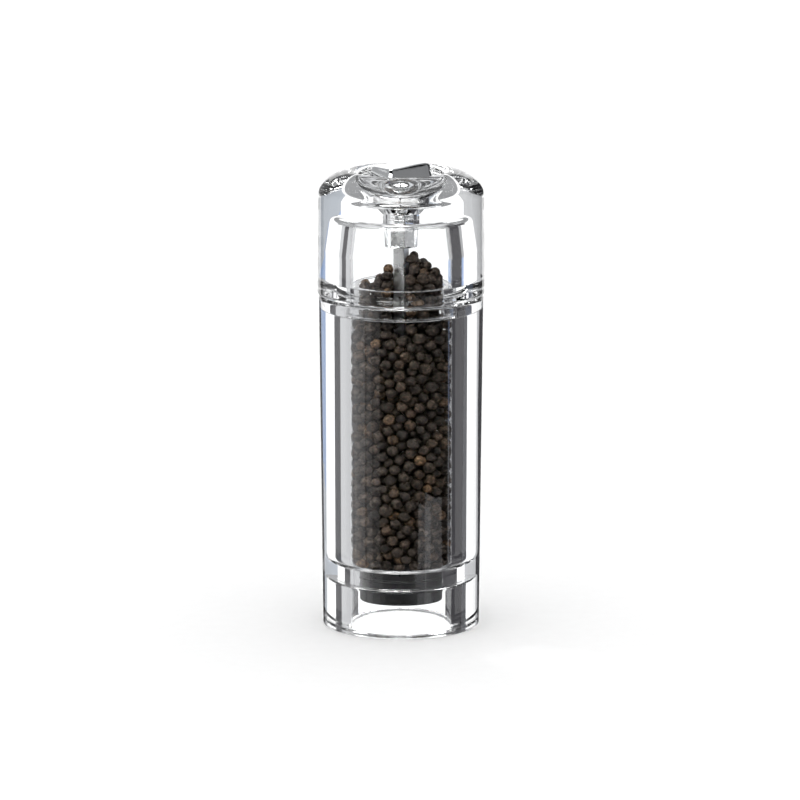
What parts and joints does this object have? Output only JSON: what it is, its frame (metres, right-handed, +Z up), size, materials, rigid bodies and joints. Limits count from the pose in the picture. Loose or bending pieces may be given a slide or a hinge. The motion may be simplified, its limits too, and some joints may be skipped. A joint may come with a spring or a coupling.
{
  "type": "pepper mill",
  "caption": "Clear cylindrical pepper mill with a turning domed head, square drive shaft, chrome adjusting knob in a dish and a ceramic grinder under a clear peppercorn reservoir.",
  "frame": {"origin": "on the axis of the mill, in the plane of the bottom rim that it stands on", "axes": "+Z up along the axis of the mill, from the rim it stands on to the adjusting knob; -Y is the front"},
  "size_m": [0.0588, 0.0588, 0.1654],
  "materials": {
    "clear_acrylic": "polished clear acrylic",
    "knob_chrome": "bright chrome plate",
    "shaft_aluminium": "drawn aluminium bar, satin",
    "nut_brass": "turned",
    "washer_nylon": "natural nylon",
    "grinder_black": "moulded black plastic, satin",
    "grinder_ceramic": "sintered alumina ceramic",
    "small_steel": "stainless steel",
    "seal_rubber": "matt",
    "peppercorns": "dry wrinkled black peppercorns"
  },
  "bodies": {
    "mill_body": {"body_shell": "clear_acrylic", "peppercorn_fill": "peppercorns", "grinder_housing": "grinder_black", "grinder_bridge": "grinder_black", "housing_o_ring": "seal_rubber", "grinding_ring": "grinder_ceramic", "ring_retainer": "grinder_black"},
    "spring_seat": {"upper_spring_washer": "small_steel", "spring": "small_steel"},
    "shaft": {"drive_shaft": "shaft_aluminium", "grinding_cone": "grinder_ceramic", "cone_carrier": "grinder_black", "lower_spring_washer": "small_steel", "cone_washer": "small_steel", "retaining_clip": "small_steel"},
    "head": {"cap_shell": "clear_acrylic", "cap_socket": "clear_acrylic"},
    "knob": {"adjusting_knob": "knob_chrome", "knob_nut": "nut_brass", "knob_washer": "washer_nylon"}
  },
  "joints": [
    {"name": "grind_turn", "type": "hinge", "parent": "mill_body", "child": "spring_seat", "pos_m": [0, 0, 0.118], "axis": [0, 0, 1], "continuous": true},
    {"name": "shaft_adjust", "type": "slide", "parent": "spring_seat", "child": "shaft", "axis": [0, 0, 1], "range_m": [-0.0014, 0.00035], "deforming": ["spring"]},
    {"name": "cap_lift", "type": "slide", "parent": "spring_seat", "child": "head", "axis": [0, 0, 1], "range_m": [0, 0.05]},
    {"name": "knob_turn", "type": "hinge", "parent": "head", "child": "knob", "pos_m": [0, 0, 0.155], "axis": [0, 0, 1], "range_deg": [-180, 720]}
  ],
  "couplings": [
    {"joint": "shaft_adjust", "follows": "knob_turn", "m_per_rad": -0.00011141}
  ]
}
